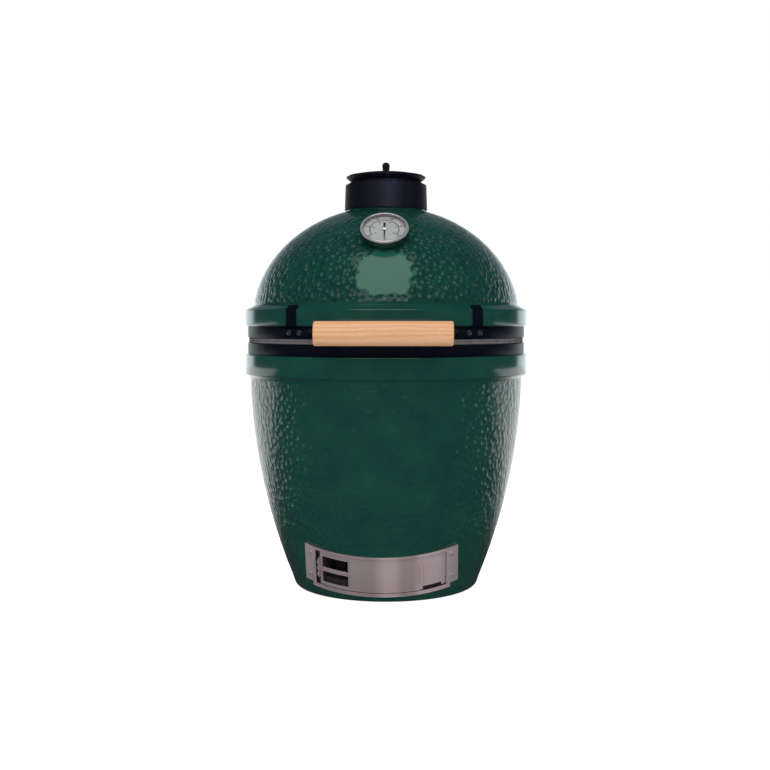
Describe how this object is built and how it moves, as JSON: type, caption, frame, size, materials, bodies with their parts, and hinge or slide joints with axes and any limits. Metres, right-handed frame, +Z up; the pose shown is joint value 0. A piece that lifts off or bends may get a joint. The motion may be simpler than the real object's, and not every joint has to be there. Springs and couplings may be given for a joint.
{
  "type": "kamado ceramic grill",
  "caption": "Egg-shaped ceramic charcoal grill with a hinged dome, cast chimney vent, dial thermometer, wooden lift handle and sliding draft door.",
  "frame": {"origin": "centre of the flat foot that the grill stands on", "axes": "+Z up along the body's axis, -Y towards the handle and the draft door, +X to the right seen from the front"},
  "size_m": [0.55, 0.6721, 0.8267],
  "materials": {
    "glaze": "glossy green glaze over a dimpled ceramic wall",
    "refractory": "matt unglazed fire clay",
    "felt": "dense grey gasket felt",
    "band_black": "satin black powder coat",
    "cast_black": "matt black coated cast iron",
    "grate_iron": "bare cast iron",
    "stainless": "brushed stainless steel",
    "zinc": "zinc plated steel",
    "bush_brass": "plain turned brass",
    "chrome_trim": "polished chrome",
    "beech": "oiled pale hardwood, straight grain",
    "dial_face": "white printed dial with plain numbers",
    "pointer_black": "satin black",
    "lens_glass": "clear flat glass",
    "knob_black": "matt black moulded rubber"
  },
  "bodies": {
    "base": {"base_shell": "glaze", "base_gasket": "felt", "base_band": "band_black", "fire_box": "refractory", "fire_ring": "refractory", "fire_grate": "grate_iron", "cooking_grid": "stainless", "draft_frame": "stainless", "draft_screws": "stainless", "lower_hinge_bracket": "band_black", "lower_hinge_bolts": "zinc", "hinge_pin": "zinc", "hinge_pin_clip": "zinc", "hinge_sleeve": "zinc"},
    "dome": {"dome_shell": "glaze", "dome_gasket": "felt", "dome_band": "band_black", "dome_clip_left": "band_black", "dome_clip_right": "band_black", "handle_bracket_left": "band_black", "handle_bracket_right": "band_black", "handle_rivets": "band_black", "handle_grip": "beech", "handle_rod": "band_black", "handle_spacers": "band_black", "handle_nuts": "band_black", "upper_hinge_bracket": "band_black", "upper_hinge_bolts": "zinc", "hinge_bushes": "bush_brass", "hinge_spring_left": "zinc", "hinge_spring_right": "zinc", "vent_collar": "cast_black", "chimney_gasket": "felt", "vent_pivot_screw": "zinc", "thermometer_seat": "band_black", "thermometer_case": "stainless", "thermometer_bezel": "chrome_trim", "thermometer_dial": "dial_face", "thermometer_lens": "lens_glass", "thermometer_stem": "stainless", "thermometer_nut": "stainless"},
    "draft_door": {"draft_door": "stainless"},
    "draft_slide": {"draft_slide": "stainless"},
    "vent_disc": {"vent_disc": "cast_black", "daisy_screw": "zinc"},
    "daisy_wheel": {"daisy_wheel": "cast_black", "vent_knob": "knob_black"},
    "pointer": {"thermometer_pointer": "pointer_black"}
  },
  "joints": [
    {"name": "dome_hinge", "type": "hinge", "parent": "base", "child": "dome", "pos_m": [0, 0.316, 0.48105], "axis": [-1, 0, 0], "range_deg": [0, 75], "deforming": ["hinge_spring_left", "hinge_spring_right"]},
    {"name": "draft_door_slide", "type": "hinge", "parent": "base", "child": "draft_door", "pos_m": [-0.00019, -0.00466, 0.11552], "axis": [-0.0122, -0.2921, 0.9563], "range_deg": [0, 14.5]},
    {"name": "draft_slide_slide", "type": "hinge", "parent": "base", "child": "draft_slide", "pos_m": [-0.00019, -0.00466, 0.11552], "axis": [-0.0122, -0.2921, 0.9563], "range_deg": [-15.5, 0]},
    {"name": "vent_swing", "type": "hinge", "parent": "dome", "child": "vent_disc", "pos_m": [0, 0.09, 0.79], "axis": [0, 0, 1], "range_deg": [0, 105]},
    {"name": "daisy_turn", "type": "hinge", "parent": "vent_disc", "child": "daisy_wheel", "pos_m": [0, 0, 0.8], "axis": [0, 0, 1], "range_deg": [0, 36]},
    {"name": "pointer_turn", "type": "hinge", "parent": "dome", "child": "pointer", "pos_m": [0, -0.1895, 0.6708], "axis": [0, -0.6696, 0.7427], "range_deg": [-300, 0]}
  ]
}
